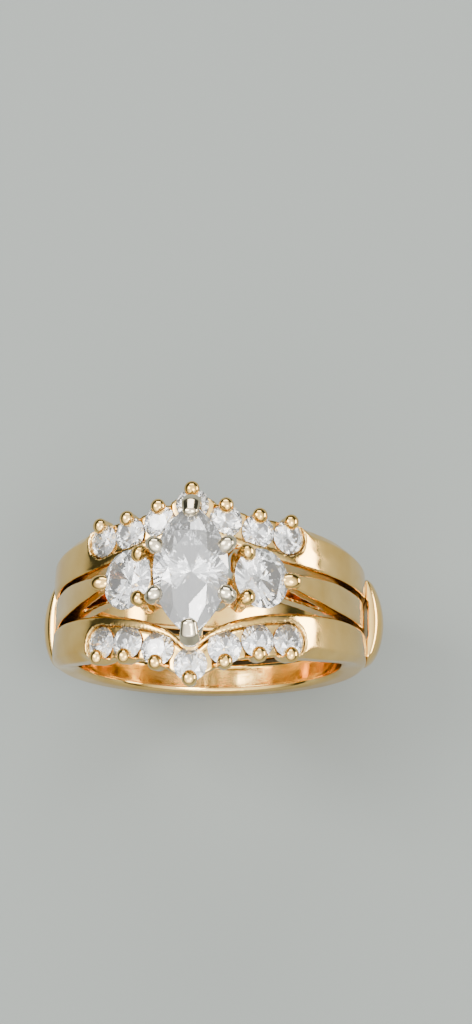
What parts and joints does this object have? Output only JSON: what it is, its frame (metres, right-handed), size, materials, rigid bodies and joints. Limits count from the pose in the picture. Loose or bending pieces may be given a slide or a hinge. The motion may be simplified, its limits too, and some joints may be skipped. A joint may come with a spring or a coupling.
{
  "type": "engagement ring with ring guard",
  "caption": "Marquise and round three-stone ring nested in a two-band chevron ring guard set with small round stones; the ring lifts out of the guard.",
  "frame": {"origin": "middle of the finger hole", "axes": "+Y along the finger, +Z through the marquise, +X across the finger to the right as seen with the marquise up and the finger pointing away"},
  "size_m": [0.0228, 0.0126, 0.0243],
  "materials": {
    "yellow_gold": "polished, softly worn",
    "white_gold": "polished",
    "diamond": "faceted, brilliant cut"
  },
  "bodies": {
    "guard": {"front_band": "yellow_gold", "back_band": "yellow_gold", "bridge_left": "yellow_gold", "bridge_right": "yellow_gold", "front_diamond_1": "diamond", "front_diamond_2": "diamond", "front_diamond_3": "diamond", "front_diamond_4": "diamond", "front_diamond_5": "diamond", "front_diamond_6": "diamond", "front_diamond_7": "diamond", "back_diamond_1": "diamond", "back_diamond_2": "diamond", "back_diamond_3": "diamond", "back_diamond_4": "diamond", "back_diamond_5": "diamond", "back_diamond_6": "diamond", "back_diamond_7": "diamond"},
    "engagement_ring": {"shank": "yellow_gold", "centre_head": "white_gold", "side_head_left": "yellow_gold", "side_head_right": "yellow_gold", "marquise_diamond": "diamond", "side_diamond_left": "diamond", "side_diamond_right": "diamond"}
  },
  "joints": [
    {"name": "engagement_ring_lift", "type": "slide", "parent": "guard", "child": "engagement_ring", "axis": [0, 0, 1], "range_m": [0, 0.024]}
  ]
}
